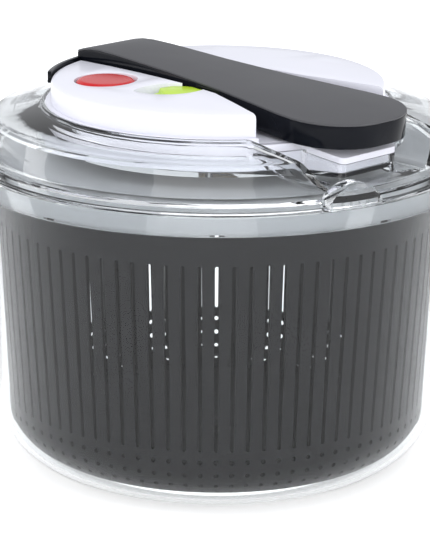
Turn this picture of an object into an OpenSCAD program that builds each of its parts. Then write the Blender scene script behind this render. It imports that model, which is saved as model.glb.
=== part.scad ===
// Lever-driven salad spinner: clear bowl, slotted basket, clear lid with a geared lever drive, brake and lock.
// Frame: origin at the centre of the base, +Z up, +X towards the free end of the lever.

/* [Bowl] */
// Outer radius of the bowl at its rim
bowl_rim_r = 127.5; // [122:0.5:134]
// Height of the bowl rim above the table
bowl_h = 162.8; // [135:0.2:200]
// Outer radius of the flat base
bowl_foot_r = 82; // [66:1:90]
// Radius of the round between base and wall
bowl_corner_r = 35; // [28:1:40]
// Wall thickness of the bowl
bowl_wall = 2.5; // [1.8:0.1:3]

/* [Basket] */
// Radial gap between basket wall and bowl wall at the rim
basket_gap = 5.5; // [4:0.5:9]
// Height of the basket floor underside above the table
basket_z = 8; // [7:0.5:10]
// Wall thickness of the basket
basket_wall = 2; // [1.5:0.1:2.4]
// Width of one drain slot
slot_w = 2.2; // [1.5:0.1:3]
// Number of drain slots round the wall, an even number
slot_n = 88; // [60:4:96]

/* [Lid] */
// Wall thickness of the clear lid
lid_wall = 2.2; // [1.8:0.1:2.6]
// Gap between the bowl rim and the skirt of the lid
lid_gap = 2.3; // [1.5:0.1:3]
// Height of the clear drum above the bowl rim
drum_h = 23; // [20:0.5:28]
// Inner radius of the well that holds the drive housing
well_r = 90.5; // [88:0.5:94]

/* [Drive housing] */
// Height of the white base ring
base_h = 17.8; // [17.8:0.2:21]
// Height of the cap above the base ring, at its edge
cap_h = 11.5; // [10.5:0.5:14]
// Wall thickness of the housing parts
case_wall = 2.2; // [1.8:0.1:2.6]

/* [Lever] */
// Distance from the centre to the tip of the lever
lever_reach = 116; // [108:1:120]
// Half width of the lever at its broad end
lever_half = 35; // [31:0.5:37]
// Thickness of the lever, top to lower edge
lever_t = 12.6; // [11:0.2:13.4]
// Angle through which the lever lifts
lever_lift = 24; // [18:1:24]

/* [Gears] */
// Module of the sector, rack and rack pinion
rack_m = 1.25; // [1.25:0.05:1.3]
// Module of the spindle gears
spin_m = 1; // [0.98:0.01:1.02]
// Face width of the large gear
gear_w = 4; // [3:0.2:4.2]
// Backlash between working flanks
backlash = 0.24; // [0.2:0.02:0.4]

/* [Brake and lock] */
// Radius of the brake button
button_r = 15.5; // [13:0.5:16.5]
// Stroke of the brake button
button_stroke = 4; // [3:0.2:4]
// Stroke of the lever lock
lock_stroke = 8; // [6:0.5:8.5]

/* [Fits] */
// Radial clearance of a turning or sliding fit
fit = 0.06; // [0.03:0.01:0.09]
// Free gap between pieces that pass each other
free = 0.6; // [0.5:0.05:0.8]

/* [Hidden] */
$fn = 96;
eps = 0.01;

// Bowl
bowl_in_r = bowl_rim_r - bowl_wall;
bowl_draft = atan((bowl_rim_r - bowl_foot_r - bowl_corner_r + 1.5) / (bowl_h - bowl_corner_r));
pivot_top = 10;
pivot_r = 4;
foot_relief = 1.2;

// Lid levels, from the bowl rim upwards
rim_z = bowl_h + lid_wall;
lid_rim_r = bowl_rim_r + lid_gap + lid_wall;
skirt_z = bowl_h - 9.2;
step_z = rim_z + 3;
drum_top = rim_z + drum_h;
drum_r = bowl_rim_r - 6;
collar_z = rim_z + 27;
well_z = collar_z - base_h;
scoop_z = rim_z + 5;
scoop_half = 53;
tab_a = -14;

// Drive housing
base_r = well_r - free;
floor_t = 2;
base_floor = well_z + floor_t;
base_top = well_z + base_h;
ledge_r = base_r - 6;
cap_r = well_r - 3.5;
cap_edge = base_top + cap_h;
dome = 2;
trough_z = base_top - 3.7;
trough_t = 1.5;
nose_x = 107;
nose_half = 21;
nose_root = 28;
lip_t = 3.2;

// Lever and its hinge
hinge_x = -76;
hinge_z = base_top + 6;
hinge_pin_r = 2;
barrel_r = 4.5;
tilt = 3.38;
lever_top = 13.7;
lever_skin = 1.2;
lever_wall = 2.2;
ear_y = 11;
ear_t = 3;
wing_a = 40;

// Gear train, from the hinge to the spindle
sector_n = 28;
pinion_n = 10;
wheel_n = 56;
spindle_n = 12;
pressure = 25;
sector_r = sector_n * rack_m / 2;
pinion_r = pinion_n * rack_m / 2;
wheel_r = wheel_n * spin_m / 2;
spindle_r = spindle_n * spin_m / 2;
axle_a = 155.7;
axle_x = (wheel_r + spindle_r) * cos(axle_a);
axle_y = (wheel_r + spindle_r) * sin(axle_a);
axle_r = 2;
rack_z = base_floor + 0.3;
rack_line = hinge_z - sector_r;
rack_t = rack_line - 1.3 * rack_m - rack_z;
rack_half = 3;
rack_add = 0.85;
wheel_z = rack_z + 3.5;
bridge_z = wheel_z + gear_w + 0.5;
bridge_t = 1.6;

// Clutch and drive plate
shaft_r = 4;
plate_z = bowl_h + 0.2;
plate_t = 2;
plate_r = bowl_rim_r - 10;
plate_teeth = 160;
hub_r = 24.5;
hub_in = 22;
hub_z = plate_z - 5;
hub_top = well_z - lid_wall - 1;
carrier_r = 17;
carrier_z = hub_z + 3;
carrier_t = 8;
ratchet_n = 24;
brake_track_z = plate_z + plate_t;

// Basket
basket_top = bowl_h - 10.8;
basket_r = bowl_in_r - basket_gap;
basket_corner = 24;
basket_flat = bowl_foot_r + 5;
band_h = 17;
key_n = 8;

// Brake and lock places on the cap
button_x = -33.4;
button_y = -48.6;
button_top = cap_edge + 1.3;
dish_z = button_top - 7.5;
stem_r = 3;
lock_x = 7;
lock_y = -41;
lock_a = 58;
leaf_l = 39;
leaf_w = 24;
tongue_x = lock_x - 1;
tongue_w = 6;
leaf_r = (leaf_l * leaf_l / 4 + leaf_w * leaf_w / 4) / leaf_w;
leaf_z = cap_edge - 3.5;

// ---------- shared shapes ----------

// A point at radius r and angle a
function polar(r, a) = [r * cos(a), r * sin(a)];

// Points of an arc about c, from angle a0 to a1 in n steps
function arc(c, r, a0, a1, n) = [for (i = [0:n]) c + polar(r, a0 + (a1 - a0) * i / n)];

// Involute function, in radians, at the radius r of a gear with base radius rb
function involute(r, rb) = let (a = acos(min(1, rb / r))) tan(a) - a * PI / 180;

// Half angle of a gear tooth at radius r, in degrees
function tooth_half(n, m, r) = let (rp = n * m / 2, rb = rp * cos(pressure))
    (PI / 2 / n - backlash / 4 / rp + involute(rp, rb) - involute(max(r, rb), rb)) * 180 / PI;

// Outline of one gear tooth centred on angle a, from root to tip and back
function tooth(n, m, a) = let (rp = n * m / 2, rs = [rp - 1.25 * m, rp - 0.5 * m, rp, rp + 0.5 * m, rp + 0.95 * m])
    concat([for (r = rs) polar(r, a - tooth_half(n, m, r))],
           [for (i = [4:-1:0]) polar(rs[i], a + tooth_half(n, m, rs[i]))]);

// Spur gear with its first tooth on angle a
module gear(n, m, w, a = 0) {
    linear_extrude(w) polygon([for (k = [0:n - 1]) each tooth(n, m, a + k * 360 / n)]);
}

// Row of k rack teeth along X about the origin, with a gap centred on x = 0, standing towards +Y
module rack_row(k, m, w) {
    p = PI * m;
    half = p / 4 - backlash / 4;
    slope = tan(pressure) * m;
    linear_extrude(w) for (i = [0:k - 1]) translate([(i - k / 2 + 0.5) * p, 0])
        polygon([[-half - 1.3 * slope, -1.3 * m - eps], [half + 1.3 * slope, -1.3 * m - eps],
                 [half - rack_add * slope, rack_add * m], [-half + rack_add * slope, rack_add * m]]);
}

// Ring between two radii
module ring(r1, r0, h) {
    difference() {
        cylinder(r = r1, h = h);
        translate([0, 0, -1]) cylinder(r = r0, h = h + 2);
    }
}

// Screw standing on z = 0 with its head below, shank upwards
module screw(shank_r, shank_h, head_r, head_h) {
    difference() {
        union() {
            translate([0, 0, -head_h]) cylinder(r = head_r, h = head_h);
            cylinder(r = shank_r, h = shank_h);
        }
        translate([0, 0, -head_h - 1]) cylinder(r = head_r * 0.45, h = 1 + head_h * 0.6, $fn = 6);
    }
}

// Coil spring of n turns as one ribbed sleeve, standing on z = 0
module spring(coil_r, wire_r, h, n) {
    gap = (h - 2 * wire_r) / (n - 1);
    rotate_extrude() {
        for (i = [0:n - 1]) translate([coil_r, wire_r + i * gap]) circle(r = wire_r, $fn = 16);
        translate([coil_r - wire_r * 0.3, wire_r]) square([wire_r * 0.6, h - 2 * wire_r]);
    }
}

// Plan of the lever at distance d inside its edge
module lever_plan(d = 0) {
    tip = lever_reach - hinge_x - d;
    r = 30 - d;
    half = lever_half - d;
    polygon(concat([[-16, 16 - half], [60, 13 - half], [102, 9 - half], [130, 4.5 - half], [150, 1 - half]],
        arc([tip - r, -half + r], r, -90, 0, 10), arc([tip - r, half - r], r, 0, 90, 10),
        [[150, half - 1], [130, half - 4.5], [102, half - 9], [60, half - 13], [-16, half - 16]]));
}

// Everything under the top of the lever, which rounds down behind the hinge, lowered by d
module under_lever_top(d = 0) {
    top = lever_top - d;
    rotate([90, 0, 0]) linear_extrude(160, center = true)
        polygon([[-30, -30], [-30, top - 9], [-16, top - 6.5], [-12.5, top - 4.6], [-8, top - 2.8], [-2, top - 1.3],
                 [6, top - 0.4], [20, top], [260, top], [260, -30]]);
}

// Keeps the rear of the lever within the round of the housing
module behind_round() {
    translate([0, 0, 100]) cylinder(r = base_r - 0.3, h = 200);
    translate([0, -100, 100]) cube([200, 200, 200]);
}

// Lever frame: X runs down the lever from the hinge, Z stands off its top face
module lever_frame() {
    translate([hinge_x, 0, hinge_z]) rotate([0, tilt, 0]) children();
}

// Channel in the cap that takes the lever, grown by d
module trough_plan(d = 0) {
    half = lever_half + d;
    polygon([[-100, 14 - half], [-60, 11 - half], [3, 6.5 - half], [30, 3 - half], [77, -half - 13],
             [96, -half - 29], [96, half + 29], [77, half + 13], [30, half - 3], [3, half - 6.5],
             [-60, half - 11], [-100, half - 14]]);
}

// Plan of the nose that stands out of the housing under the lever, shrunk by d
module nose_plan(d = 0) {
    r = 4 - d * 0.5;
    polygon(concat([[60, -nose_root - 5 + d], [well_r - 6, -nose_root + d]],
        arc([nose_x - r - d, -nose_half + r + d], r, -75, 0, 4),
        arc([nose_x - r - d, nose_half - r - d], r, 0, 75, 4),
        [[well_r - 6, nose_root - d], [60, nose_root + 5 - d]]));
}

// Everything under the sloping top of the nose, lowered by d
module under_nose_top(d = 0) {
    rotate([90, 0, 0]) linear_extrude(160, center = true)
        polygon([[40, 0], [nose_x + 20, 0], [nose_x + 20, base_top - 13 - d], [nose_x, base_top - 9.5 - d],
                 [82, base_top - 3.5 - d], [40, base_top - 3.5 - d]]);
}

// Room of the finger scoop in the lid, with flanks that sweep down and inwards, grown by d
module scoop(d = 0) {
    flank = [[scoop_half + d, scoop_z + 50], [scoop_half + d, collar_z], [scoop_half + d - 2.5, collar_z - 5],
             [scoop_half + d - 8, collar_z - 13], [scoop_half + d - 12.5, scoop_z + 3.5],
             [scoop_half + d - 15, scoop_z + 1.2], [scoop_half - 18, scoop_z - d]];
    translate([60, 0, 0]) rotate([90, 0, 90]) linear_extrude(100)
        polygon(concat(flank, [for (i = [len(flank) - 1:-1:0]) [-flank[i].x, flank[i].y]]));
}

// ---------- bowl and basket ----------

module bowl() {
    foot = [bowl_foot_r, bowl_corner_r];
    a_in = bowl_corner_r - bowl_wall;
    rise = bowl_h - bowl_corner_r;
    lean = rise * tan(bowl_draft);
    color("lightcyan", 0.4) rotate_extrude() polygon(concat(
        [[0, foot_relief], [bowl_foot_r - 10, foot_relief], [bowl_foot_r - 8, 0]],
        arc(foot, bowl_corner_r, -90, -bowl_draft, 12),
        [[bowl_rim_r, bowl_h], [bowl_in_r, bowl_h]],
        arc(foot, a_in, -bowl_draft, -90, 12),
        [[pivot_r + 4, bowl_wall + foot_relief], [pivot_r, pivot_top - 1.5], [pivot_r - 1.5, pivot_top],
         [0, pivot_top]]));
}

// Outer radius of the basket at height z above the corner round
function basket_at(z) = basket_r + (basket_flat + basket_corner - basket_r)
    * (basket_top - z) / (basket_top - basket_z - basket_corner);

module basket() {
    c = [basket_flat, basket_z + basket_corner];
    band_z = basket_top - band_h;
    slot_z = basket_z + basket_corner + 4;
    color("dimgray") difference() {
        union() {
            rotate_extrude() polygon(concat([[0, basket_z]], arc(c, basket_corner, -90, 0, 8),
                [[basket_r, basket_top], [basket_r - basket_wall, basket_top]],
                arc(c, basket_corner - basket_wall, 0, -90, 8), [[0, basket_z + basket_wall]]));
            cylinder(r = pivot_r + 5, h = pivot_top + 4);
            for (k = [0:key_n - 1]) rotate(k * 360 / key_n)
                translate([basket_r - basket_wall - 2.2, -3, basket_top - 10]) cube([3, 6, 10]);
        }
        translate([0, 0, -eps]) cylinder(r = pivot_r + 6, h = basket_z);
        cylinder(r = pivot_r + 4, h = basket_z + 0.6);
        cylinder(r = pivot_r + free, h = pivot_top + 0.5);
        for (k = [0:slot_n - 1]) rotate((k + 0.5) * 360 / slot_n)
            translate([basket_flat, -slot_w / 2, slot_z]) cube([bowl_rim_r - basket_flat, slot_w, band_z - slot_z]);
        for (k = [0:23]) rotate(k * 15) {
            translate([basket_flat - 6, 0, 0]) cylinder(r = 1.5, h = 20, $fn = 16);
            translate([basket_flat - 16, 0, 0]) cylinder(r = 1.5, h = 20, $fn = 16);
        }
        for (k = [0:11]) rotate(k * 30) translate([30, -1.2, 0]) cube([22, 2.4, 20]);
    }
}

// ---------- lid ----------

// Solid under the outside of the lid
module lid_outside(z0) {
    rotate_extrude() polygon([[0, z0], [drum_r + 3, z0], [drum_r + 1.5, step_z], [drum_r, step_z + 2],
        [drum_r - 2.5, drum_top - 5], [drum_r - 3.4, drum_top - 2.8], [drum_r - 5.5, drum_top - 1.5],
        [well_r + lid_wall, collar_z], [0, collar_z]]);
}

module lid_shell() {
    w = lid_wall;
    rotate_extrude() polygon([[lid_rim_r, skirt_z], [lid_rim_r, rim_z - 1.5], [lid_rim_r - 1.5, rim_z],
        [lid_rim_r - 4.5, rim_z], [lid_rim_r - 5.5, step_z - 0.6], [lid_rim_r - 6.5, step_z],
        [drum_r + 1.5, step_z], [drum_r, step_z + 2], [drum_r - 2.5, drum_top - 5], [drum_r - 3.4, drum_top - 2.8],
        [drum_r - 5.5, drum_top - 1.5], [well_r + w, collar_z - 0.6], [well_r + w - 0.6, collar_z],
        [well_r, collar_z], [well_r, well_z], [0, well_z], [0, well_z - w], [well_r + w, well_z - w],
        [well_r + w, collar_z - 2.8], [drum_r - 6.5, drum_top - 3.8], [drum_r - 5.2, drum_top - 5.4],
        [drum_r - 2 - w, step_z + 0.6], [drum_r - 0.5, step_z - w], [lid_rim_r - 7.3, step_z - w],
        [lid_rim_r - 7.1, bowl_h], [lid_rim_r - w, bowl_h], [lid_rim_r - w, skirt_z]]);
}

module lid_cover() {
    w = lid_wall;
    color("aliceblue", 0.4) difference() {
        union() {
            difference() {
                union() {
                    lid_shell();
                    intersection() {
                        lid_outside(scoop_z - w);
                        scoop(w);
                        translate([0, 0, scoop_z - w]) ring(140, well_r, 60);
                    }
                }
                difference() {
                    scoop();
                    cylinder(r = well_r + w, h = 400);
                }
                intersection() {
                    scoop();
                    translate([0, -100, base_top - 6.9]) cube([200, 200, 60]);
                }
            }
            intersection() {
                translate([0, 0, scoop_z - w]) linear_extrude(60) nose_plan();
                under_nose_top(lip_t + 0.2);
                translate([0, 0, scoop_z - w]) ring(140, well_r, 60);
            }
            lift_tab();
        }
        translate([0, 0, well_z]) linear_extrude(60) nose_plan(w);
        difference() {
            translate([0, 0, well_z]) linear_extrude(60) nose_plan(-free / 2);
            under_nose_top(lip_t + 0.2);
        }
        intersection() {
            translate([0, 0, scoop_z - w - 1]) linear_extrude(well_z - scoop_z + 1) nose_plan(w);
            translate([0, 0, scoop_z - w - 1]) ring(140, well_r + w, 60);
        }
        translate([0, 0, well_z - 10]) cylinder(r = shaft_r + 3, h = 20);
        translate([button_x, button_y, well_z - 10]) cylinder(r = stem_r + free, h = 20);
        housing_screw_places() translate([0, 0, well_z - 10]) cylinder(r = 1.7, h = 20, $fn = 24);
    }
}

// Small hump on the rim that a thumb lifts the lid by
module lift_tab() {
    rotate(tab_a) intersection() {
        translate([drum_r, 0, rim_z - 6]) rotate([0, 90, 0]) scale(1) cylinder(r = 17, h = 12);
        translate([0, 0, rim_z - 1]) ring(lid_rim_r, drum_r + 1, 30);
        translate([0, -15, 0]) cube([200, 30, 300]);
    }
}

module housing_screw_places() {
    for (a = [48, 132, 215, 312]) rotate(a) translate([76, 0, 0]) children();
}

// ---------- drive plate and clutch ----------

module drive_plate() {
    ring_z = basket_top - 7;
    skirt_r = basket_at(ring_z) - basket_wall - free;
    color("whitesmoke") difference() {
        union() {
            translate([0, 0, plate_z]) linear_extrude(plate_t)
                polygon([for (k = [0:plate_teeth - 1]) each [
                    polar(plate_r - 1.4, (k - 0.3) * 360 / plate_teeth),
                    polar(plate_r, (k - 0.2) * 360 / plate_teeth),
                    polar(plate_r, (k + 0.2) * 360 / plate_teeth),
                    polar(plate_r - 1.4, (k + 0.3) * 360 / plate_teeth)]]);
            translate([0, 0, ring_z]) ring(skirt_r, skirt_r - 2, plate_z - ring_z + eps);
            translate([0, 0, hub_z]) cylinder(r = hub_r, h = hub_top - hub_z);
        }
        translate([0, 0, hub_z + plate_t]) cylinder(r = hub_in, h = 30);
        translate([0, 0, hub_z - 1]) cylinder(r = shaft_r - 1 + fit, h = 30);
        for (k = [0:key_n - 1]) rotate(k * 360 / key_n)
            translate([skirt_r - 6, -3 - free, basket_top - 12]) cube([12, 6 + 2 * free, 12 + free]);
    }
}

module ratchet_ring() {
    color("gold") translate([0, 0, hub_z + plate_t]) linear_extrude(hub_top - hub_z - plate_t) difference() {
        circle(r = hub_in);
        polygon([for (k = [0:ratchet_n - 1]) each [polar(hub_in - 2.8, k * 360 / ratchet_n),
            polar(hub_in - 1.3, (k + 0.1) * 360 / ratchet_n)]]);
    }
}

// Spindle: pinion above the lid floor, pawl carrier below it, journal for the drive plate at the bottom
module clutch_driver() {
    color("ivory") difference() {
        union() {
            translate([0, 0, wheel_z]) gear(spindle_n, spin_m, gear_w, axle_a + 180 / spindle_n);
            translate([0, 0, carrier_z]) cylinder(r = shaft_r, h = wheel_z - carrier_z + eps);
            translate([0, 0, carrier_z]) cylinder(r = carrier_r, h = carrier_t);
            translate([0, 0, hub_z - 0.3]) cylinder(r = shaft_r - 1, h = carrier_z - hub_z + 1);
        }
        for (a = [0, 180]) rotate(a) translate([0, 0, carrier_z + 2]) linear_extrude(carrier_t) pawl_pocket();
        translate([0, 0, hub_z - 1]) cylinder(r = 1.25, h = 9, $fn = 24);
    }
}

module pawl_pocket() {
    translate([6, 6]) square([20, 7]);
    translate([9, 9.5]) circle(r = 3.5);
}

module clutch_pawls() {
    color("gold") for (a = [0, 180]) rotate(a) translate([0, 0, carrier_z + 2]) linear_extrude(carrier_t - 2.4) {
        translate([9, 9.5]) circle(r = 3.5 - fit);
        polygon([[9, 7.5], [15, 7.5], [14.2, 10], [9, 12.2]]);
    }
}

module pawl_springs() {
    color("silver") for (a = [0, 180]) rotate(a) translate([0, 0, carrier_z + 3]) linear_extrude(carrier_t - 4.4)
        polygon([[11, 6.05], [14.5, 6.05], [14.5, 6.3], [12.6, 7.3], [12.4, 7.3], [13.8, 6.4], [11, 6.4]]);
}

module spindle_bush() {
    color("goldenrod") translate([0, 0, well_z - lid_wall]) ring(shaft_r + 3, shaft_r + fit, floor_t + lid_wall);
}

module spindle_washer() {
    color("silver") translate([0, 0, hub_z - 1.3]) ring(7, 1.6, 1);
}

module spindle_screw() {
    color("silver") translate([0, 0, hub_z - 1.3]) screw(1.25, 7, 3, 1.8);
}

// ---------- drive housing ----------

module housing_base() {
    color("white") difference() {
        union() {
            difference() {
                translate([0, 0, well_z]) cylinder(r = base_r, h = base_h);
                translate([0, 0, base_floor]) cylinder(r = base_r - case_wall, h = base_h - floor_t - 3);
                translate([0, 0, base_floor]) cylinder(r = ledge_r, h = base_h);
                translate([0, 0, base_top - 3.5]) linear_extrude(20) intersection() {
                    trough_plan();
                    translate([40, -80]) square([80, 160]);
                }
            }
            difference() {
                intersection() {
                    translate([0, 0, well_z]) linear_extrude(40) nose_plan(lid_wall + free);
                    under_nose_top();
                }
                intersection() {
                    translate([0, 0, base_floor]) linear_extrude(40) nose_plan(lid_wall + free + case_wall);
                    under_nose_top(case_wall);
                }
                translate([0, 0, well_z - 1]) cylinder(r = ledge_r, h = 40);
            }
            intersection() {
                difference() {
                    under_nose_top();
                    under_nose_top(lip_t);
                }
                translate([0, 0, well_z]) linear_extrude(40) nose_plan();
                translate([0, 0, well_z]) ring(140, ledge_r, 40);
            }
            for (s = [-1, 1]) translate([hinge_x - barrel_r, s * (ear_y + ear_t / 2) - ear_t / 2, base_floor - eps])
                cube([2 * barrel_r, ear_t, hinge_z - base_floor + barrel_r]);
            bridge_screw_places() translate([0, 0, base_floor - eps]) cylinder(r = 3, h = bridge_z - base_floor);
            housing_screw_places() translate([0, 0, base_floor - eps]) cylinder(r = 3.5, h = 8);
        }
        translate([0, 0, well_z - 1]) cylinder(r = shaft_r + 3, h = 20);
        translate([button_x, button_y, well_z - 1]) cylinder(r = stem_r + free, h = 20);
        translate([axle_x, axle_y, well_z - 1]) cylinder(r = axle_r, h = 20);
        translate([hinge_x, 20, hinge_z]) rotate([90, 0, 0]) cylinder(r = hinge_pin_r, h = 40);
        bridge_screw_places() translate([0, 0, base_floor + 2]) cylinder(r = 1, h = 20, $fn = 24);
        housing_screw_places() translate([0, 0, well_z - 1]) cylinder(r = 1.2, h = 8, $fn = 24);
    }
}

// Solid under the outside of the cap
module cap_outside() {
    n = 8;
    r1 = cap_r - 2.6;
    rotate_extrude() polygon(concat([[0, trough_z - trough_t], [ledge_r - free, trough_z - trough_t],
        [ledge_r - free, base_top], [cap_r, base_top], [cap_r, cap_edge - 2.4], [cap_r - 0.7, cap_edge - 0.8]],
        [for (i = [n:-1:0]) [r1 * i / n, cap_edge + dome * (1 - i * i / n / n)]]));
}

module cap_shell() {
    w = case_wall;
    n = 4;
    r1 = cap_r - 4;
    intersection() {
        cap_outside();
        difference() {
            translate([0, 0, base_top]) cylinder(r = cap_r, h = 30);
            rotate_extrude() polygon(concat([[0, base_top - 1], [cap_r - w, base_top - 1], [cap_r - w, cap_edge - w - 1.5]],
                [for (i = [n:-1:0]) [r1 * i / n, cap_edge - w + dome * (1 - i * i / n / n)]]));
        }
    }
}

module leaf_plan(d = 0) {
    translate([lock_x, lock_y]) rotate(lock_a) intersection() {
        translate([0, leaf_r - leaf_w / 2]) circle(r = leaf_r + d);
        translate([0, leaf_w / 2 - leaf_r]) circle(r = leaf_r + d);
    }
}

// Plan of the thumb piece, which fits the leaf at both ends of its stroke
module thumb_plan() {
    difference() {
        intersection() {
            leaf_plan(-free);
            translate(polar(lock_stroke, lock_a)) leaf_plan(-free);
        }
        trough_plan(-2.5);
    }
}

// Slot for the stem of the lock, along its stroke
module lock_slot(w, l0, l1) {
    translate([lock_x, lock_y]) rotate(lock_a) translate([l0, -w / 2]) square([l1 - l0, w]);
}

module housing_cap() {
    w = case_wall;
    color("white") difference() {
        union() {
            cap_shell();
            intersection() {
                cap_outside();
                union() {
                    translate([0, 0, trough_z - trough_t]) linear_extrude(40) trough_plan(w);
                    translate([button_x, button_y, dish_z - w]) cylinder(r = button_r + 1 + w, h = 20);
                    translate([0, 0, leaf_z - w]) linear_extrude(20) leaf_plan(w);
                }
            }
        }
        translate([0, 0, trough_z]) linear_extrude(60) trough_plan();
        translate([-100, -15.5, trough_z - 10]) cube([42, 31, 40]);
        translate([button_x, button_y, dish_z]) cylinder(r = button_r + 1, h = 20);
        translate([button_x, button_y, dish_z - 10]) cylinder(r = stem_r + fit, h = 20);
        translate([0, 0, leaf_z]) linear_extrude(20) leaf_plan();
        translate([0, 0, leaf_z - 10]) linear_extrude(20) lock_slot(4 + 2 * fit, -4.5 - lock_stroke, 3.2);
        tongue_path(2.4 + lock_stroke * 0.6, 1.2);
    }
}

module bridge_screw_places() {
    for (p = [[18, 14], [-10, 46], [-52, 46]]) translate(p) children();
}

module gear_bridge() {
    color("silver") difference() {
        translate([0, 0, bridge_z]) linear_extrude(bridge_t) union() {
            polygon([[24, 8], [24, 20], [-10, 52], [-58, 52], [-58, 42], [-36, 8], [-10, -9], [10, -9]]);
        }
        translate([0, 0, bridge_z - 1]) cylinder(r = 2.5, h = 10);
        translate([axle_x, axle_y, bridge_z - 1]) cylinder(r = axle_r, h = 10);
        bridge_screw_places() translate([0, 0, bridge_z - 1]) cylinder(r = 1.3, h = 10, $fn = 24);
    }
}

module compound_gear() {
    color("ivory") translate([axle_x, axle_y, 0]) difference() {
        union() {
            translate([0, 0, rack_z]) gear(pinion_n, rack_m, wheel_z - rack_z + eps, -90);
            translate([0, 0, wheel_z]) gear(wheel_n, spin_m, gear_w, axle_a + 180);
        }
        translate([0, 0, rack_z - 1]) cylinder(r = axle_r + fit, h = 20);
        for (k = [0:5]) rotate(k * 60) translate([17, 0, wheel_z - 1]) cylinder(r = 5, h = 10);
    }
}

module gear_axle() {
    color("silver") translate([axle_x, axle_y, well_z]) cylinder(r = axle_r, h = bridge_z + bridge_t - well_z);
}

// Rack: teeth on top for the lever's sector, teeth on its side for the pinion
module drive_rack() {
    x0 = hinge_x - 10.2;
    x1 = axle_x + 7;
    color("ivory") union() {
        translate([x0, -rack_half, rack_z]) cube([x1 - x0, 2 * rack_half, rack_t]);
        intersection() {
            translate([hinge_x, rack_half, rack_line]) rotate([90, 0, 0]) rack_row(6, rack_m, 2 * rack_half);
            translate([x0, -10, 0]) cube([40, 20, 400]);
        }
        translate([x1 - 22, 0, rack_z]) cube([22, axle_y - pinion_r - 1.3 * rack_m, rack_t]);
        translate([axle_x - PI * rack_m, axle_y - pinion_r, rack_z]) rack_row(6, rack_m, rack_t);
    }
}

module rack_clip() {
    z = rack_z + rack_t + 0.3;
    color("silver") translate([-12, 0, 0]) difference() {
        translate([-3, -8, base_floor]) cube([6, 16, z + 0.5 - base_floor]);
        translate([-4, -rack_half - 0.4, base_floor - 1]) cube([8, 2 * rack_half + 0.8, z + 1 - base_floor]);
    }
}

// ---------- lever ----------

module lever_core() {
    bottom = lever_top - lever_t;
    span = lever_lift + 12;
    color("black") difference() {
        union() {
            intersection() {
                lever_frame() difference() {
                    intersection() {
                        translate([0, 0, bottom]) linear_extrude(lever_t) lever_plan();
                        under_lever_top(lever_skin);
                    }
                    intersection() {
                        translate([0, 0, bottom - 1]) linear_extrude(lever_t) lever_plan(lever_wall);
                        under_lever_top(lever_skin + lever_wall);
                    }
                }
                behind_round();
            }
            difference() {
                translate([0, 0, hinge_z + 0.5]) ring(base_r - 0.3, cap_r + free, 6);
                rotate(wing_a) translate([-200, -200, 0]) cube([200, 200, 400]);
                translate([-200, 0, 0]) cube([200, 200, 400]);
                translate([hinge_x + 30, -100, 0]) cube([200, 200, 400]);
            }
            lever_frame() {
                rotate([90, 0, 0]) translate([0, 0, -ear_y + 0.3]) cylinder(r = barrel_r, h = 14);
                translate([-barrel_r, -3, 0]) cube([40, 6, lever_top - lever_skin - 2.2]);
            }
            sector();
            for (x = [60, 110, 150]) lever_frame() translate([x, 16 - lever_half, bottom + 5])
                cube([1.6, 2 * lever_half - 32, lever_t - lever_skin - 5.5]);
        }
        translate([hinge_x, 20, hinge_z]) rotate([90, 0, 0]) cylinder(r = hinge_pin_r + fit, h = 40);
        tongue_path(2.6 + lock_stroke * 0.6, 0.4);
    }
}

// Toothed sector under the hinge
module sector() {
    a0 = -90 - lever_lift - 13;
    a1 = -90 + 13;
    translate([hinge_x, rack_half, hinge_z]) rotate([90, 0, 0]) intersection() {
        gear(sector_n, rack_m, 2 * rack_half, -90);
        linear_extrude(2 * rack_half) polygon(concat([[0, 0]], arc([0, 0], 30, a0, a1, 4)));
    }
}

module lever_cover() {
    color("dimgray") intersection() {
        lever_frame() intersection() {
            linear_extrude(lever_top) lever_plan();
            difference() {
                under_lever_top();
                under_lever_top(lever_skin);
            }
        }
        behind_round();
    }
}

module hinge_pin() {
    color("silver") translate([hinge_x, ear_y + ear_t, hinge_z]) rotate([90, 0, 0])
        cylinder(r = hinge_pin_r, h = 2 * (ear_y + ear_t));
}

module lever_spring() {
    color("silver") translate([hinge_x, -3.6, hinge_z]) rotate([90, 0, 0]) spring(3.2, 0.5, 7, 6);
}

// ---------- brake and lock ----------

module brake_button() {
    color("red") translate([button_x, button_y, 0]) union() {
        difference() {
            union() {
                translate([0, 0, button_top - 3.3]) cylinder(r = button_r, h = 1.8);
                translate([0, 0, button_top - 1.5]) cylinder(r1 = button_r, r2 = button_r - 2, h = 1.5);
            }
            translate([0, 0, button_top - 4]) cylinder(r = button_r - 1.8, h = 2.2);
        }
        translate([0, 0, well_z - 1]) cylinder(r = stem_r, h = button_top - well_z);
    }
}

module brake_spring() {
    color("silver") translate([button_x, button_y, dish_z])
        spring(stem_r + 1.5, 0.4, button_top - 1.8 - dish_z, 5);
}

module brake_pad() {
    color("black") translate([button_x, button_y, brake_track_z + button_stroke + 0.1])
        cylinder(r = stem_r + 0.2, h = well_z - 1 - brake_track_z - button_stroke - 0.1);
}

// Straight path of the lock's tongue towards the lever, wider by dx and taller by dz
module tongue_path(dx, dz) {
    z = leaf_z - case_wall - 2.4;
    translate([tongue_x - dx, -44, z - dz / 2]) cube([tongue_w + 2 * dx, 23, 1.8 + dz]);
}

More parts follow.
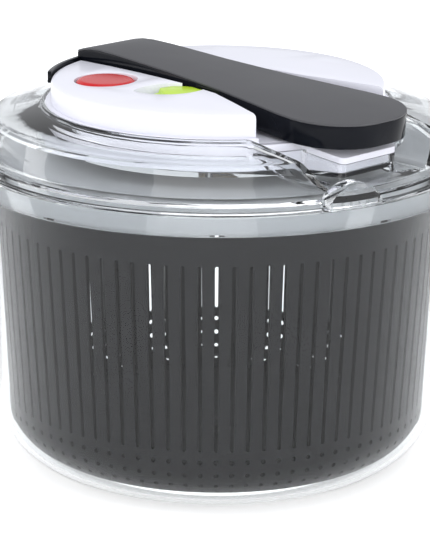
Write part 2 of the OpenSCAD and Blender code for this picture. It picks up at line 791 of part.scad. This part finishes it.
module lock_slider() {
    z = leaf_z - case_wall - 2.4;
    color("limegreen") union() {
        difference() {
            translate([0, 0, leaf_z + 0.3]) linear_extrude(3.5) thumb_plan();
            translate([lock_x, lock_y, leaf_z + 0.3]) rotate(lock_a) rotate([90, 0, 0])
                linear_extrude(60, center = true) polygon([[-40, 1.4], [-5, 1.4], [-3, 6], [-40, 6]]);
        }
        translate([0, 0, z + 0.4]) linear_extrude(leaf_z - z + 0.4) lock_slot(4, -4, 3);
        translate([tongue_x, -44, z]) cube([tongue_w, 44 - lever_half + 11, 1.8]);
    }
}

module lock_spring() {
    z = leaf_z - case_wall - 2.4;
    color("silver") translate([tongue_x, -46, z - 0.6]) cube([tongue_w, 4, 0.6]);
}

// ---------- fasteners ----------

module housing_screws() {
    color("silver") housing_screw_places() translate([0, 0, well_z - lid_wall]) screw(1.2, 8, 2.6, 1.6);
}

module bridge_screws() {
    color("silver") bridge_screw_places() translate([0, 0, bridge_z + bridge_t]) mirror([0, 0, 1]) screw(1, 4, 2, 0.4);
}

bowl();
basket();
lid_cover();
drive_plate();
ratchet_ring();
clutch_driver();
clutch_pawls();
pawl_springs();
spindle_bush();
spindle_washer();
spindle_screw();
housing_base();
housing_cap();
gear_bridge();
compound_gear();
gear_axle();
drive_rack();
rack_clip();
lever_core();
lever_cover();
hinge_pin();
lever_spring();
brake_button();
brake_spring();
brake_pad();
lock_slider();
lock_spring();
housing_screws();
bridge_screws();
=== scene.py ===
"""Salad spinner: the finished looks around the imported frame, laid out as an add-on and run as a script."""

import math

import bmesh
import bpy
from bpy.props import FloatProperty, IntProperty, PointerProperty, StringProperty
from mathutils import Matrix, Vector


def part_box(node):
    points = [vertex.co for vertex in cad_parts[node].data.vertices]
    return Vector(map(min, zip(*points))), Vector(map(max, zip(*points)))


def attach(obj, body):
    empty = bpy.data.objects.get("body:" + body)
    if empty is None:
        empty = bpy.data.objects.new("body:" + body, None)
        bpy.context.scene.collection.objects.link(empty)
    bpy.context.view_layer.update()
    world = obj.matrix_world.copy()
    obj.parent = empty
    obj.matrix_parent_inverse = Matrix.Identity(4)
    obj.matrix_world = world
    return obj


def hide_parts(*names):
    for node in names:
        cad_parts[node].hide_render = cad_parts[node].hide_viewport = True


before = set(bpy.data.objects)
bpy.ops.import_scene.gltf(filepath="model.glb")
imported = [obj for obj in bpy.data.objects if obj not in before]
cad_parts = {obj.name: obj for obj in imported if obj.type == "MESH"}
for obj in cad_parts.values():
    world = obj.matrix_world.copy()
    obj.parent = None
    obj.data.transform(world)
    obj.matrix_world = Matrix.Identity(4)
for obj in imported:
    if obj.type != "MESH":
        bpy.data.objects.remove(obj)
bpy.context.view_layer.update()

bl_info = {
    "name": "Salad Spinner",
    "version": (1, 0, 0),
    "blender": (4, 5, 0),
    "location": "3D View > Sidebar > Spinner",
    "description": "Builds the looks of a lever driven salad spinner around its frame",
    "category": "Add Mesh",
}

MM = 0.001


# ---------- sizes taken from the frame ----------

def low(node):
    """Lowest corner of a node's box."""
    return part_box(node)[0]


def high(node):
    """Highest corner of a node's box."""
    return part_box(node)[1]


BOWL_R = high("bowl").x
BOWL_TOP = high("bowl").z
BASKET_R = high("basket").x
BASKET_TOP = high("basket").z
BASKET_FLOOR = low("basket").z

# sizes that the boxes of the nodes don't show
BOWL_WALL = 2.5 * MM
BOWL_FOOT = 82 * MM
BOWL_CORNER = 35 * MM
FOOT_RELIEF = 1.2 * MM
PIVOT_TOP = 10 * MM
BASKET_WALL = 2 * MM
BASKET_FLAT = 87 * MM
BASKET_CORNER = 24 * MM
BASKET_BAND = 17 * MM
BOSS_R = 7 * MM
BOSS_TOP = 12 * MM
HOLE_ROWS = 5

# the room: half width of the floor in metres, the floor's own glow, strength of the white world
FLOOR_HALF = 8.0
FLOOR_GLOW = 0.45
WORLD_STRENGTH = 0.9


# ---------- user settings ----------

class SpinnerColours(bpy.types.PropertyGroup):
    """Colours of the mouldings, as sRGB hex values."""

    case: StringProperty(name="Housing", description="White ABS of the housing", default="E0E0EA")
    clear: StringProperty(name="Clear parts", description="Tint of the clear bowl and lid", default="F7F9FA")
    basket: StringProperty(name="Basket", description="Polypropylene of the basket", default="131315")
    # the lever top's grey, lighter than the near-black side, is partly painted light: the bright
    # surroundings falling on the top face
    lever_top: StringProperty(name="Lever top", description="Satin cover of the lever", default="464649")
    lever_side: StringProperty(name="Lever side", description="Gloss body of the lever", default="0E1016")
    button: StringProperty(name="Brake button", description="Red ABS of the brake button", default="BE0A12")
    lock: StringProperty(name="Lock", description="Lime ABS of the lever lock", default="B4D60C")


class SpinnerSizes(bpy.types.PropertyGroup):
    """Sizes of the details that the frame doesn't hold."""

    lip_round: FloatProperty(name="Lip round", description="Round on the rims of the clear parts",
                             default=1.1 * MM, unit="LENGTH")
    edge_round: FloatProperty(name="Edge round", description="Round on the housing's edges",
                              default=0.7 * MM, unit="LENGTH")
    slot_width: FloatProperty(name="Slot width", description="Width of a drain slot in the basket",
                              default=2.4 * MM, unit="LENGTH")
    hole_radius: FloatProperty(name="Hole radius", description="Radius of a drain hole in the basket",
                               default=1.3 * MM, unit="LENGTH")
    slot_count: IntProperty(name="Slots", description="Number of drain slots round the basket", default=88)


# ---------- materials ----------

def linear(hex_colour):
    """sRGB hex to linear red, green, blue and alpha."""
    parts = [int(hex_colour[i:i + 2], 16) / 255 for i in (0, 2, 4)]
    return [c / 12.92 if c <= 0.04045 else ((c + 0.055) / 1.055) ** 2.4 for c in parts] + [1.0]


def add(tree, kind, links=None, **settings):
    """Adds a node; settings name sockets or attributes, links map sockets to other nodes' outputs."""
    node = tree.nodes.new(kind)
    for key, value in settings.items():
        if key in node.inputs:
            node.inputs[key].default_value = value
        else:
            setattr(node, key, value)
    for key, source in (links or {}).items():
        tree.links.new(source, node.inputs[key])
    return node


def new_material(name, **shader):
    """A material with a Principled shader and object coordinates."""
    mat = bpy.data.materials.new(name)
    mat.use_nodes = True
    tree = mat.node_tree
    tree.nodes.clear()
    out = add(tree, "ShaderNodeOutputMaterial")
    bsdf = add(tree, "ShaderNodeBsdfPrincipled")
    for key, value in shader.items():
        bsdf.inputs[key.replace("_", " ")].default_value = value
    tree.links.new(bsdf.outputs[0], out.inputs[0])
    coords = add(tree, "ShaderNodeTexCoord")
    return mat, tree, bsdf, coords.outputs["Object"]


def moulded(name, hex_colour, roughness, grain_mm=0.6, bump=0.06, spread=0.05, vary=0.04, **shader):
    """Injection moulded plastic: even colour with slight clouding, a fine tool texture, uneven gloss."""
    mat, tree, bsdf, place = new_material(name, **shader)
    base = linear(hex_colour)
    cloud = add(tree, "ShaderNodeTexNoise", {"Vector": place}, Scale=1 / (22 * MM), Detail=3.0)
    tint = add(tree, "ShaderNodeMix", {"Factor": cloud.outputs["Fac"]}, data_type="RGBA")
    tint.inputs[6].default_value = [c * (1 - vary) for c in base[:3]] + [1]
    tint.inputs[7].default_value = [min(1, c * (1 + vary)) for c in base[:3]] + [1]
    tree.links.new(tint.outputs[2], bsdf.inputs["Base Color"])
    grain = add(tree, "ShaderNodeTexNoise", {"Vector": place}, Scale=1 / (grain_mm * MM), Detail=2.0)
    gloss = add(tree, "ShaderNodeMapRange", {"Value": cloud.outputs["Fac"]})
    gloss.inputs["To Min"].default_value = roughness - spread / 2
    gloss.inputs["To Max"].default_value = roughness + spread / 2
    tree.links.new(gloss.outputs[0], bsdf.inputs["Roughness"])
    relief = add(tree, "ShaderNodeBump", {"Height": grain.outputs["Fac"]}, Strength=bump, Distance=0.05 * MM)
    tree.links.new(relief.outputs[0], bsdf.inputs["Normal"])
    return mat


def clear_plastic(name, hex_colour, roughness, wave_mm=14, bump=0.05, ior=1.4):
    """Polished styrene acrylonitrile: glass clear, with a moulding's slow waviness in its reflections."""
    mat, tree, bsdf, place = new_material(name, Transmission_Weight=1.0, IOR=ior, Roughness=roughness)
    base = linear(hex_colour)
    cloud = add(tree, "ShaderNodeTexNoise", {"Vector": place}, Scale=1 / (40 * MM), Detail=1.0)
    tint = add(tree, "ShaderNodeMix", {"Factor": cloud.outputs["Fac"]}, data_type="RGBA")
    tint.inputs[6].default_value = [c * 0.985 for c in base[:3]] + [1]
    tint.inputs[7].default_value = base
    tree.links.new(tint.outputs[2], bsdf.inputs["Base Color"])
    wave = add(tree, "ShaderNodeTexNoise", {"Vector": place}, Scale=1 / (wave_mm * MM), Detail=1.0)
    relief = add(tree, "ShaderNodeBump", {"Height": wave.outputs["Fac"]}, Strength=bump, Distance=0.4 * MM)
    tree.links.new(relief.outputs[0], bsdf.inputs["Normal"])
    return mat


def bright_steel(name):
    """Drawn and stamped steel: bright, with fine lines from the die."""
    mat, tree, bsdf, place = new_material(name, Metallic=1.0, Roughness=0.28)
    stretch = add(tree, "ShaderNodeMapping", {"Vector": place})
    stretch.inputs["Scale"].default_value = (1, 1, 12)
    lines = add(tree, "ShaderNodeTexNoise", {"Vector": stretch.outputs[0]}, Scale=1 / (3 * MM), Detail=3.0)
    shade = add(tree, "ShaderNodeMix", {"Factor": lines.outputs["Fac"]}, data_type="RGBA")
    shade.inputs[6].default_value = linear("A9A9AC")
    shade.inputs[7].default_value = linear("D2D2D4")
    tree.links.new(shade.outputs[2], bsdf.inputs["Base Color"])
    relief = add(tree, "ShaderNodeBump", {"Height": lines.outputs["Fac"]}, Strength=0.1, Distance=0.05 * MM)
    tree.links.new(relief.outputs[0], bsdf.inputs["Normal"])
    return mat


MATERIALS = {}


def make_materials():
    """All finishes, once."""
    tone = bpy.context.scene.spinner_colours
    MATERIALS.update({
        # clear bowl and lid: polished SAN with faint waviness; the index is kept
        # under the resin's 1.57, which softens reflection and bending
        "bowl": clear_plastic("clear_san_polished_bowl", tone.clear, 0.0, 30, 0.03, 1.26),
        "lid": clear_plastic("clear_san_polished_lid", tone.clear, 0.02, 12, 0.06, 1.4),
        # drive plate: natural polypropylene, milky and half see-through
        "plate": moulded("natural_polypropylene", "C2C5C9", 0.35, 0.8, 0.05, 0.06, 0.02, IOR=1.49,
                         Transmission_Weight=0.5),
        # basket: satin polypropylene, fine texture, soft wide highlights
        "basket": moulded("black_polypropylene_satin", tone.basket, 0.42, 2.5, 0.015, 0.06, 0.05, IOR=1.49,
                         Specular_IOR_Level=0.16),
        # housing: glossy white ABS
        "case": moulded("white_abs_gloss", tone.case, 0.3, 0.7, 0.04, 0.06, 0.012, IOR=1.53,
                        Coat_Weight=0.15, Coat_Roughness=0.12),
        # lever: spark eroded satin top over a high gloss body; the top's grey, lighter than the body, is
        # partly painted light from the white surroundings falling on the top
        "lever_top": moulded("satin_abs_grey_with_painted_top_light", tone.lever_top, 0.5, 0.45, 0.35, 0.08, 0.03, IOR=1.49,
                            Specular_IOR_Level=0.35),
        "lever_side": moulded("black_abs_high_gloss", tone.lever_side, 0.1, 2.0, 0.02, 0.05, 0.1, IOR=1.45,
                              Specular_IOR_Level=0.12),
        "button": moulded("red_abs_gloss", tone.button, 0.24, 0.8, 0.04, 0.06, 0.05, IOR=1.49,
                          Specular_IOR_Level=0.35),
        "lock": moulded("lime_abs_gloss", tone.lock, 0.3, 0.8, 0.05, 0.06, 0.05, IOR=1.53),
        # gears: natural acetal, waxy and slightly translucent
        "acetal": moulded("natural_acetal", "EFEDE4", 0.38, 0.8, 0.08, 0.06, 0.02, IOR=1.48,
                          Subsurface_Weight=0.1),
        "bush": moulded("filled_nylon", "B79A5E", 0.5, 0.6, 0.1, 0.08, 0.06, IOR=1.53),
        "rubber": moulded("moulded_rubber", "1B1B1B", 0.75, 0.7, 0.3, 0.08, 0.1, IOR=1.52),
        "steel": bright_steel("bright_drawn_steel"),
    })


# ---------- mesh helpers ----------

def new_object(name, mesh, material):
    """Links a mesh as a finished object at the origin."""
    obj = bpy.data.objects.new(name, mesh)
    bpy.context.scene.collection.objects.link(obj)
    obj.data.materials.append(MATERIALS[material])
    return obj


def smooth(obj, angle=35):
    """Smooth shading, with an edge kept sharp past the angle in degrees."""
    with bpy.context.temp_override(object=obj, active_object=obj, selected_objects=[obj],
                                   selected_editable_objects=[obj]):
        bpy.ops.object.shade_smooth_by_angle(angle=math.radians(angle))


def bake_modifiers(obj):
    """Replaces the object's mesh by its evaluated mesh and drops its modifiers."""
    graph = bpy.context.evaluated_depsgraph_get()
    mesh = bpy.data.meshes.new_from_object(obj.evaluated_get(graph))
    mesh.name = obj.name
    obj.modifiers.clear()
    obj.data = mesh
    return obj


def refined(node, name, material, width=0.0, segments=2, limit=32, shade=32):
    """A copy of a CAD node with merged faces, rounded edges and smooth shading."""
    bm = bmesh.new()
    bm.from_mesh(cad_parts[node].data)
    bmesh.ops.remove_doubles(bm, verts=bm.verts, dist=0.002 * MM)
    bmesh.ops.dissolve_limit(bm, angle_limit=math.radians(0.6), verts=bm.verts, edges=bm.edges)
    mesh = bpy.data.meshes.new(name)
    bm.to_mesh(mesh)
    bm.free()
    obj = new_object(name, mesh, material)
    if width:
        bevel = obj.modifiers.new("Round", "BEVEL")
        bevel.width = width
        bevel.segments = segments
        bevel.limit_method = "ANGLE"
        bevel.angle_limit = math.radians(limit)
        bevel.use_clamp_overlap = True
        bevel.harden_normals = False
        bake_modifiers(obj)
    smooth(obj, shade)
    return obj


def arc(cx, cz, r, a0, a1, n):
    """Points of an arc in the X-Z plane, angles in degrees from +X towards +Z."""
    return [(cx + r * math.cos(math.radians(a0 + (a1 - a0) * i / n)),
             cz + r * math.sin(math.radians(a0 + (a1 - a0) * i / n))) for i in range(n + 1)]


def lathe(name, profile, material, steps=192, angle=40):
    """Turns a closed or pole-to-pole profile of (radius, height) about Z."""
    bm = bmesh.new()
    rings = []
    for r, z in profile:
        if r < 1e-7:
            rings.append([bm.verts.new((0, 0, z))])
        else:
            turns = [2 * math.pi * i / steps for i in range(steps)]
            rings.append([bm.verts.new((r * math.cos(t), r * math.sin(t), z)) for t in turns])
    loops = list(zip(rings, rings[1:]))
    if len(rings[0]) > 1 and len(rings[-1]) > 1:
        loops.append((rings[-1], rings[0]))
    for a, b in loops:
        for i in range(steps):
            j = (i + 1) % steps
            corners = [a[i % len(a)], a[j % len(a)], b[j % len(b)], b[i % len(b)]]
            face = list(dict.fromkeys(corners))
            if len(face) > 2:
                bm.faces.new(face)
    bmesh.ops.recalc_face_normals(bm, faces=bm.faces)
    mesh = bpy.data.meshes.new(name)
    bm.to_mesh(mesh)
    bm.free()
    obj = new_object(name, mesh, material)
    smooth(obj, angle)
    return obj


def settle(obj, body, slot, *nodes):
    """Hands a finished piece to the frame."""
    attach(obj, body)
    if nodes:
        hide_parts(*nodes)
    return obj


# ---------- operators ----------

class SPINNER_OT_bowl(bpy.types.Operator):
    """Clear bowl with its rounded corner, foot ring and pivot cone"""

    bl_idname = "spinner.bowl"
    bl_label = "Clear bowl"

    def execute(self, context):
        wall = BOWL_WALL
        lip = context.scene.spinner_sizes.lip_round
        foot, corner = BOWL_FOOT, BOWL_CORNER
        draft = math.degrees(math.atan((BOWL_R - foot - corner + 1.5 * MM) / (BOWL_TOP - corner)))
        profile = [(0, FOOT_RELIEF), (foot - 10 * MM, FOOT_RELIEF),
                   (foot - 9 * MM, 0.9 * MM), (foot - 7.6 * MM, 0)]
        profile += arc(foot, corner, corner, -90, -draft, 20)
        profile += arc(BOWL_R - lip, BOWL_TOP - lip, lip, 0, 90, 5)
        profile += arc(BOWL_R - wall + lip, BOWL_TOP - lip, lip, 90, 180, 5)
        profile += arc(foot, corner, corner - wall, -draft, -90, 20)
        profile += [(12 * MM, wall + 0.2 * MM), (8 * MM, wall + 1.4 * MM), (4 * MM, PIVOT_TOP - 1.5 * MM),
                    (2.5 * MM, PIVOT_TOP - 0.3 * MM), (0, PIVOT_TOP)]
        obj = settle(lathe("bowl_shell", profile, "bowl", 256, 60), "bowl_body", "clear_bowl", "bowl")
        obj.visible_shadow = False  # light passes a clear wall
        return {"FINISHED"}


class SPINNER_OT_basket(bpy.types.Operator):
    """Black basket: one slotted and perforated strip, repeated round by a node tree"""

    bl_idname = "spinner.basket"
    bl_label = "Basket"

    def execute(self, context):
        sizes = context.scene.spinner_sizes
        strip = basket_strip(sizes)
        tree = ring_tree("basket_ring")
        obj = run_tree(strip, tree, {"Count": sizes.slot_count, "Material": MATERIALS["basket"]})
        close_basket(obj)
        smooth(obj, 40)
        settle(obj, "basket_body", "basket_black", "basket")
        return {"FINISHED"}


def basket_profile():
    """Outer profile of the basket wall as (radius, height) pairs, from the floor up."""
    corner = arc(BASKET_FLAT, BASKET_FLOOR + BASKET_CORNER, BASKET_CORNER, -90, 0, 14)
    return corner + [(BASKET_R, BASKET_TOP)]


def along(profile, s):
    """Point at distance s along a polyline, with its outward normal."""
    for (r0, z0), (r1, z1) in zip(profile, profile[1:]):
        d = math.hypot(r1 - r0, z1 - z0)
        if s <= d or (r1, z1) == profile[-1]:
            t = s / d
            return r0 + (r1 - r0) * t, z0 + (z1 - z0) * t, (z1 - z0) / d, -(r1 - r0) / d
        s -= d


def basket_strip(sizes):
    """One pitch of the basket wall, with its slot and its drain holes."""
    profile = basket_profile()
    length = sum(math.hypot(b[0] - a[0], b[1] - a[1]) for a, b in zip(profile, profile[1:]))
    half = math.pi / sizes.slot_count
    bm = bmesh.new()
    cache = {}

    def vert(u, s, depth=0.0):
        """A vertex u half pitches to the side, at distance s along the wall and depth inside it."""
        key = (round(u, 7), round(s, 7), round(depth, 7))
        if key not in cache:
            r, z, nr, nz = along(profile, s)
            a = u * half
            r, z = r - nr * depth, z - nz * depth
            cache[key] = bm.verts.new((r * math.cos(a), r * math.sin(a), z))
        return cache[key]

    def cell(s0, s1, hole_w, hole_h):
        """A patch from s0 to s1 with an opening of 10 points, or none where hole_w is 0."""
        mid = (s0 + s1) / 2
        r = along(profile, mid)[0]
        outer = [(-1, s0), (-0.35, s0), (0.35, s0), (1, s0), (1, mid),
                 (1, s1), (0.35, s1), (-0.35, s1), (-1, s1), (-1, mid)]
        if not hole_w:
            for a, b, c, d in ((0, 1, 7, 8), (1, 2, 6, 7), (2, 3, 5, 6)):
                bm.faces.new([vert(*outer[i]) for i in (a, b, c, d)])
            return
        w = hole_w / 2 / r / half
        h = hole_h / 2
        k = min(hole_w / 2, h)
        inner = [(-w * 0.8, mid - h + k * 0.4), (-w * 0.35, mid - h), (w * 0.35, mid - h),
                 (w * 0.8, mid - h + k * 0.4), (w, mid), (w * 0.8, mid + h - k * 0.4),
                 (w * 0.35, mid + h), (-w * 0.35, mid + h), (-w * 0.8, mid + h - k * 0.4), (-w, mid)]
        for i in range(10):
            j = (i + 1) % 10
            bm.faces.new([vert(*outer[i]), vert(*outer[j]), vert(*inner[j]), vert(*inner[i])])

    corner_len = BASKET_CORNER * math.pi / 2
    s = 3 * MM
    step = corner_len / HOLE_ROWS
    for _ in range(HOLE_ROWS):
        cell(s, s + step, 2 * sizes.hole_radius, 2 * sizes.hole_radius)
        s += step
    slot_top = length - BASKET_BAND
    cell(s, slot_top + 2 * MM, sizes.slot_width, slot_top - s - 2 * MM)
    s = slot_top + 2 * MM
    cell(s, length - 2.5 * MM, 0, 0)
    cell(length - 2.5 * MM, length, 0, 0)
    bmesh.ops.recalc_face_normals(bm, faces=bm.faces)
    mesh = bpy.data.meshes.new("basket_strip")
    bm.to_mesh(mesh)
    bm.free()
    return new_object("basket_shell", mesh, "basket")


def ring_tree(name):
    """Node tree that repeats its input round Z and joins the copies."""
    tree = bpy.data.node_groups.new(name, "GeometryNodeTree")
    face = tree.interface
    face.new_socket("Geometry", in_out="INPUT", socket_type="NodeSocketGeometry")
    face.new_socket("Count", in_out="INPUT", socket_type="NodeSocketInt")
    face.new_socket("Material", in_out="INPUT", socket_type="NodeSocketMaterial")
    face.new_socket("Geometry", in_out="OUTPUT", socket_type="NodeSocketGeometry")
    source = add(tree, "NodeGroupInput").outputs
    points = add(tree, "GeometryNodePoints", {"Count": source["Count"]})
    index = add(tree, "GeometryNodeInputIndex")
    share = add(tree, "ShaderNodeMath", operation="DIVIDE")
    tree.links.new(index.outputs[0], share.inputs[0])
    tree.links.new(source["Count"], share.inputs[1])
    turn = add(tree, "ShaderNodeMath", operation="MULTIPLY")
    tree.links.new(share.outputs[0], turn.inputs[0])
    turn.inputs[1].default_value = 2 * math.pi
    angle = add(tree, "ShaderNodeCombineXYZ", {"Z": turn.outputs[0]})
    copies = add(tree, "GeometryNodeInstanceOnPoints",
                 {"Points": points.outputs[0], "Instance": source["Geometry"], "Rotation": angle.outputs[0]})
    real = add(tree, "GeometryNodeRealizeInstances", {"Geometry": copies.outputs[0]})
    paint = add(tree, "GeometryNodeSetMaterial",
                {"Geometry": real.outputs[0], "Material": source["Material"]})
    out = add(tree, "NodeGroupOutput")
    tree.links.new(paint.outputs[0], out.inputs[0])
    return tree


def run_tree(obj, tree, values):
    """Runs a node tree on an object with named inputs and keeps the plain mesh."""
    mod = obj.modifiers.new("Tree", "NODES")
    mod.node_group = tree
    for item in tree.interface.items_tree:
        if item.in_out == "INPUT" and item.name in values:
            mod[item.identifier] = values[item.name]
    return bake_modifiers(obj)


def close_basket(obj):
    """Adds the floor and the pivot boss to the ring of strips and gives the whole its thickness."""
    bm = bmesh.new()
    bm.from_mesh(obj.data)
    bmesh.ops.remove_doubles(bm, verts=bm.verts, dist=0.02 * MM)
    rim = [e for e in bm.edges if e.is_boundary and all(v.co.z < BASKET_FLOOR + 0.6 * MM for v in e.verts)
           and all(math.hypot(v.co.x, v.co.y) < BASKET_FLAT + 5 * MM for v in e.verts)]
    inward = ((30 * MM, BASKET_FLOOR), (BOSS_R, BASKET_FLOOR), (BOSS_R - MM, BOSS_TOP), (MM, BOSS_TOP))
    for radius, height in inward:
        grown = bmesh.ops.extrude_edge_only(bm, edges=rim)["geom"]
        rim = [g for g in grown if isinstance(g, bmesh.types.BMEdge)]
        for v in (g for g in grown if isinstance(g, bmesh.types.BMVert)):
            v.co.xy *= radius / v.co.xy.length
            v.co.z = height
    bmesh.ops.contextual_create(bm, geom=rim)
    bmesh.ops.recalc_face_normals(bm, faces=bm.faces)
    bm.to_mesh(obj.data)
    bm.free()
    wall = obj.modifiers.new("Wall", "SOLIDIFY")
    wall.thickness = BASKET_WALL
    wall.offset = -1
    bake_modifiers(obj)


class SPINNER_OT_lid(bpy.types.Operator):
    """Clear lid with its drum, well, finger scoop and thumb tab"""

    bl_idname = "spinner.lid"
    bl_label = "Clear lid"

    def execute(self, context):
        obj = settle(refined("lid_cover", "lid_shell", "lid", 0.6 * MM, 2), "lid_body", "clear_lid",
                     "lid_cover")
        obj.visible_shadow = False  # light passes a clear wall
        return {"FINISHED"}


class SPINNER_OT_housing(bpy.types.Operator):
    """White housing base and cap"""

    bl_idname = "spinner.housing"
    bl_label = "Housing"

    def execute(self, context):
        edge = context.scene.spinner_sizes.edge_round
        settle(refined("housing_base", "housing_base_shell", "case", edge), "lid_body", "white_case",
               "housing_base")
        settle(refined("housing_cap", "housing_cap_shell", "case", edge, 3), "lid_body", "white_case",
               "housing_cap")
        return {"FINISHED"}


class SPINNER_OT_lever(bpy.types.Operator):
    """Lever: satin cover over a gloss body"""

    bl_idname = "spinner.lever"
    bl_label = "Lever"

    def execute(self, context):
        settle(refined("lever_cover", "lever_top_skin", "lever_top", 0.5 * MM, 3), "lever_body",
               "lever_satin", "lever_cover")
        settle(refined("lever_core", "lever_body_shell", "lever_side", 0.6 * MM, 3), "lever_body",
               "lever_black", "lever_core")
        return {"FINISHED"}


class SPINNER_OT_controls(bpy.types.Operator):
    """Brake button and lever lock"""

    bl_idname = "spinner.controls"
    bl_label = "Button and lock"

    def execute(self, context):
        settle(refined("brake_button", "button_cap", "button", 0.8 * MM, 4), "button_body", "red_button",
               "brake_button")
        settle(refined("lock_slider", "lock_thumb_piece", "lock", 0.6 * MM, 3), "lock_body", "lime_lock",
               "lock_slider")
        return {"FINISHED"}


class SPINNER_OT_drive(bpy.types.Operator):
    """Finishes of the gears, clutch, drive plate, springs and fasteners, whose frame shapes stay"""

    bl_idname = "spinner.drive"
    bl_label = "Drive"

    finishes = {
        "plate": ["drive_plate"],
        "acetal": ["ratchet_ring", "clutch_driver", "clutch_pawls", "compound_gear", "drive_rack"],
        "steel": ["pawl_springs", "spindle_washer", "spindle_screw", "gear_bridge", "gear_axle",
                  "rack_clip", "hinge_pin", "lever_spring", "brake_spring", "lock_spring",
                  "housing_screws", "bridge_screws"],
        "bush": ["spindle_bush"],
        "rubber": ["brake_pad"],
    }

    def execute(self, context):
        for material, nodes in self.finishes.items():
            for node in nodes:
                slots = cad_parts[node].data.materials
                slots.clear()
                slots.append(MATERIALS[material])
        return {"FINISHED"}


class SPINNER_OT_stage(bpy.types.Operator):
    """Pale floor, soft lights and the camera"""

    bl_idname = "spinner.stage"
    bl_label = "Stage"

    azimuth: FloatProperty(name="Azimuth", description="Camera's turn about Z", default=45.0)
    elevation: FloatProperty(name="Elevation", description="Camera's height angle", default=16.2)
    distance: FloatProperty(name="Distance", description="Camera to the middle of the spinner", default=1.45,
                            unit="LENGTH")
    lens: FloatProperty(name="Lens", description="Focal length in mm", default=183.0)
    roll: FloatProperty(name="Roll", description="Camera's roll in degrees", default=0.35)

    def execute(self, context):
        scene = context.scene
        floor_mesh = bpy.data.meshes.new("floor")
        half = FLOOR_HALF
        corners = [(-half, -half, 0), (half, -half, 0), (half, half, 0), (-half, half, 0)]
        floor_mesh.from_pydata(corners, [], [(0, 1, 2, 3)])
        mat = moulded("matt_white_floor", "F6F6F6", 0.8, 3.0, 0.02, 0.05, 0.004,
                      Emission_Strength=FLOOR_GLOW)
        floor = bpy.data.objects.new("floor", floor_mesh)
        floor.data.materials.append(mat)
        scene.collection.objects.link(floor)

        world = bpy.data.worlds.new("soft_white")
        world.use_nodes = True
        background = world.node_tree.nodes["Background"]
        background.inputs[0].default_value = linear("F2F4F8")
        background.inputs[1].default_value = WORLD_STRENGTH
        scene.world = world

        def area(name, place, size, power, aim=(0, 0, 0.12)):
            light = bpy.data.lights.new(name, "AREA")
            light.shape = "RECTANGLE"
            light.size, light.size_y = size
            light.energy = power
            obj = bpy.data.objects.new(name, light)
            obj.location = place
            obj.rotation_euler = (Vector(aim) - Vector(place)).to_track_quat("-Z", "Y").to_euler()
            scene.collection.objects.link(obj)

        area("overhead", (0.3, 0.2, 1.7), (1.6, 1.6), 6)
        area("front", (1.1, -1.4, 0.75), (1.6, 1.0), 14)
        area("side_left", (-1.3, -1.0, 0.8), (0.5, 1.4), 8)
        area("side_right", (1.6, 0.6, 0.7), (0.4, 1.2), 6)

        a, e = math.radians(self.azimuth), math.radians(self.elevation)
        back = Vector((math.sin(a) * math.cos(e), -math.cos(a) * math.cos(e), math.sin(e)))
        right = Vector((math.cos(a), math.sin(a), 0))
        aim = Vector((0, 0, 0.1)) - right * 0.001
        data = bpy.data.cameras.new("camera")
        data.lens = self.lens
        data.clip_end = 50
        camera = bpy.data.objects.new("camera", data)
        up = back.cross(right)
        roll = Matrix.Rotation(math.radians(self.roll), 4, "Z")
        turn = Matrix((right, up, back)).transposed().to_4x4() @ roll
        camera.matrix_world = Matrix.Translation(aim + back * self.distance) @ turn
        scene.collection.objects.link(camera)
        scene.camera = camera
        scene.view_settings.view_transform = "Standard"
        return {"FINISHED"}


class SPINNER_PT_panel(bpy.types.Panel):
    """Lists the pieces in the sidebar"""

    bl_idname = "SPINNER_PT_panel"
    bl_label = "Salad spinner"
    bl_space_type = "VIEW_3D"
    bl_region_type = "UI"
    bl_category = "Spinner"

    def draw(self, context):
        for group in (context.scene.spinner_colours, context.scene.spinner_sizes):
            for key in group.__annotations__:
                self.layout.prop(group, key)
        for operator in OPERATORS:
            self.layout.operator(operator.bl_idname)


OPERATORS = (SPINNER_OT_bowl, SPINNER_OT_basket, SPINNER_OT_lid, SPINNER_OT_housing, SPINNER_OT_lever,
             SPINNER_OT_controls, SPINNER_OT_drive, SPINNER_OT_stage)
CLASSES = (SpinnerColours, SpinnerSizes, *OPERATORS, SPINNER_PT_panel)


def register():
    for cls in CLASSES:
        bpy.utils.register_class(cls)
    bpy.types.Scene.spinner_colours = PointerProperty(type=SpinnerColours)
    bpy.types.Scene.spinner_sizes = PointerProperty(type=SpinnerSizes)


def unregister():
    del bpy.types.Scene.spinner_colours
    del bpy.types.Scene.spinner_sizes
    for cls in reversed(CLASSES):
        bpy.utils.unregister_class(cls)


def main():
    """Builds every piece in order."""
    register()
    make_materials()
    for operator in OPERATORS:
        group, name = operator.bl_idname.split(".")
        getattr(getattr(bpy.ops, group), name)()


if __name__ == "__main__":
    main()
